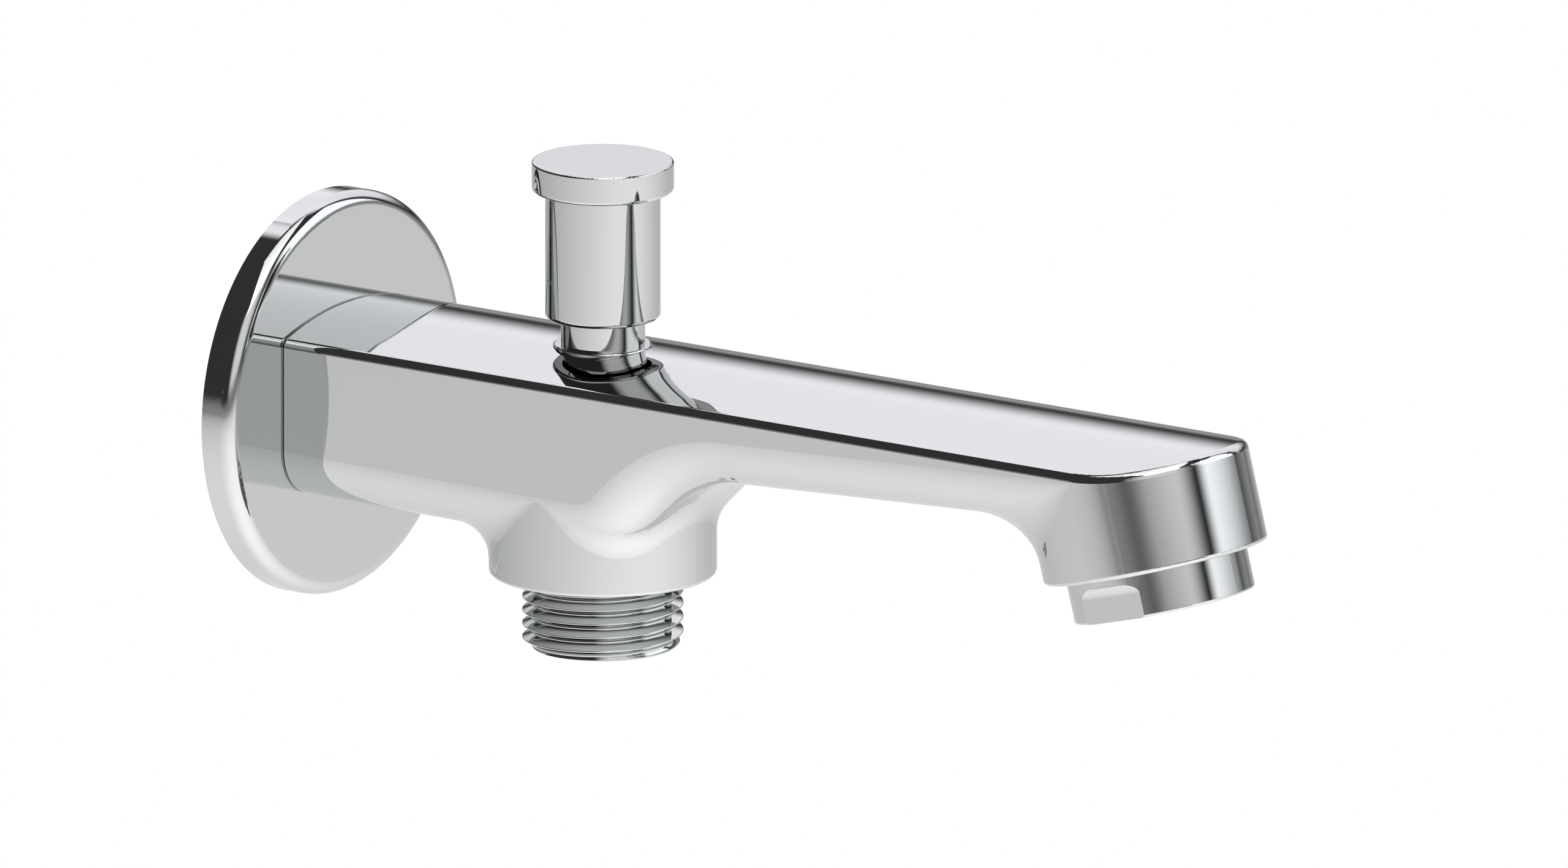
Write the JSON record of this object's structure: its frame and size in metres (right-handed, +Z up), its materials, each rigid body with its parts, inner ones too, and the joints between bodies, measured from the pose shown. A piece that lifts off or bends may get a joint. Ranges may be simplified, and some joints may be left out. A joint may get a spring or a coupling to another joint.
{
  "type": "bath spout",
  "caption": "Straight bath spout on a round wall flange, with a pull-up diverter knob on top, a threaded shower outlet below and a tilted outlet head with an aerator.",
  "frame": {"origin": "centre of the flange's hole in the wall plane, on the inlet's axis", "axes": "+X runs out from the wall to the outlet, +Z up, +Y to the right when facing the wall"},
  "size_m": [0.1471, 0.0532, 0.0646],
  "materials": {
    "chrome_plate": "polished chrome plate on brass",
    "brass": "machined",
    "black_rubber": "moulded",
    "white_plastic": "moulded",
    "grey_plastic": "moulded",
    "steel_mesh": "woven wire"
  },
  "bodies": {
    "spout": {"spout_body": "chrome_plate", "wall_flange": "chrome_plate", "shower_nipple": "chrome_plate", "diverter_gland": "chrome_plate", "aerator_housing": "chrome_plate", "wall_gasket": "black_rubber", "inlet_washer": "black_rubber", "nipple_gasket": "black_rubber", "gland_gasket": "black_rubber", "aerator_gasket": "black_rubber", "aerator_sleeve": "white_plastic", "aerator_strainer": "white_plastic", "aerator_diffuser": "white_plastic", "aerator_grille": "grey_plastic", "aerator_screen_lower": "steel_mesh", "aerator_screen_upper": "steel_mesh"},
    "diverter": {"diverter_knob": "chrome_plate", "diverter_spindle": "brass", "spindle_oring_lower": "black_rubber", "spindle_oring_upper": "black_rubber", "upper_backing_washer": "brass", "upper_valve_seal": "black_rubber", "valve_disc": "brass", "lower_valve_seal": "black_rubber", "lower_backing_washer": "brass", "valve_nut": "brass"}
  },
  "joints": [
    {"name": "diverter_lift", "type": "slide", "parent": "spout", "child": "diverter", "axis": [0, 0, 1], "range_m": [0, 0.0071]}
  ]
}
